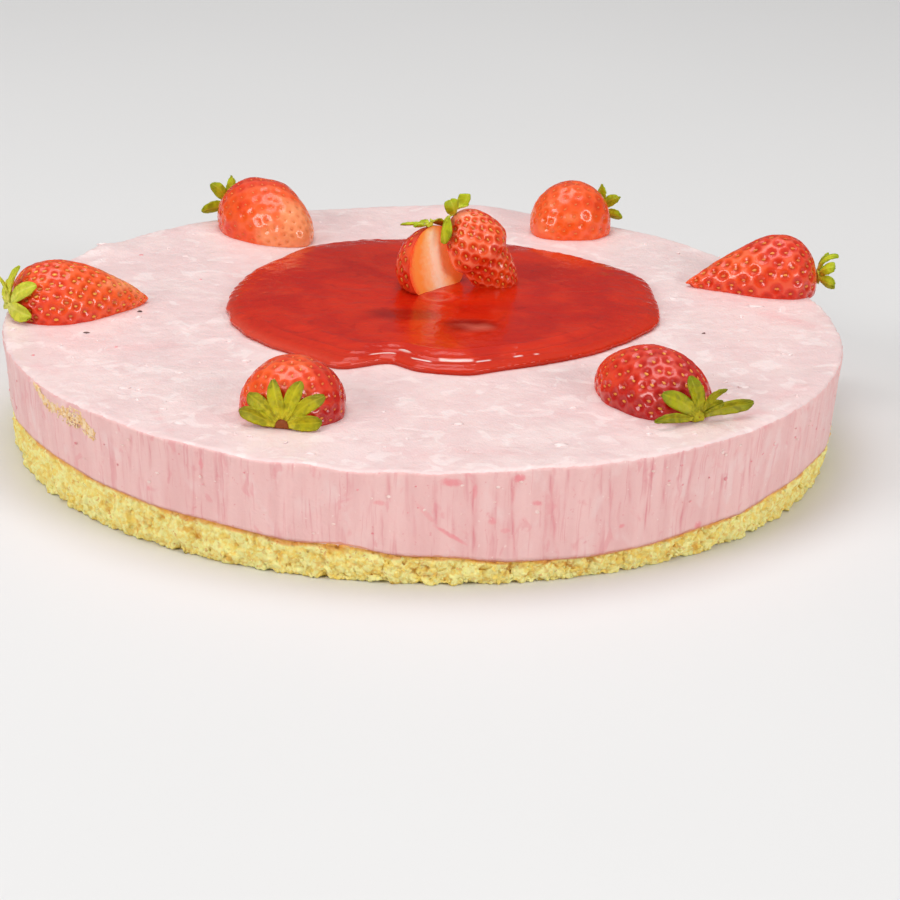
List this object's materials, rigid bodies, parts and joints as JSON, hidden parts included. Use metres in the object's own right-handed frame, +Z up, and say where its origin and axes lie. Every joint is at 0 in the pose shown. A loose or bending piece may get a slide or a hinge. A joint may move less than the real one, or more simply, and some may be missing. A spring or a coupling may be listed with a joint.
{
  "type": "strawberry cheesecake",
  "caption": "Round chilled strawberry cheesecake: pressed crumb base, set pink filling, a pool of red jelly and halved strawberries with green tops.",
  "frame": {"origin": "centre of the flat underside, on the surface that the cake rests on", "axes": "+Z up, +X to the right as the picture sees the cake, and the picture's camera on the -Y side"},
  "size_m": [0.2359, 0.2301, 0.0613],
  "materials": {
    "biscuit": "rough pressed crumb",
    "filling": "smooth set cream with a faint sheen",
    "jelly": "glossy translucent jelly",
    "strawberry": "moist dimpled skin with yellow seeds",
    "calyx": "soft green leaf"
  },
  "bodies": {
    "root": {"biscuit_base": "biscuit", "cheesecake_filling": "filling", "jelly_topping": "jelly", "berry_left": "strawberry", "berry_back_left": "strawberry", "berry_front_left": "strawberry", "berry_front_right": "strawberry", "berry_right": "strawberry", "berry_back_right": "strawberry", "berry_centre_left": "strawberry", "berry_centre_right": "strawberry", "calyx_left": "calyx", "calyx_back_left": "calyx", "calyx_front_left": "calyx", "calyx_front_right": "calyx", "calyx_right": "calyx", "calyx_back_right": "calyx", "calyx_centre_left": "calyx", "calyx_centre_right": "calyx"}
  },
  "joints": []
}
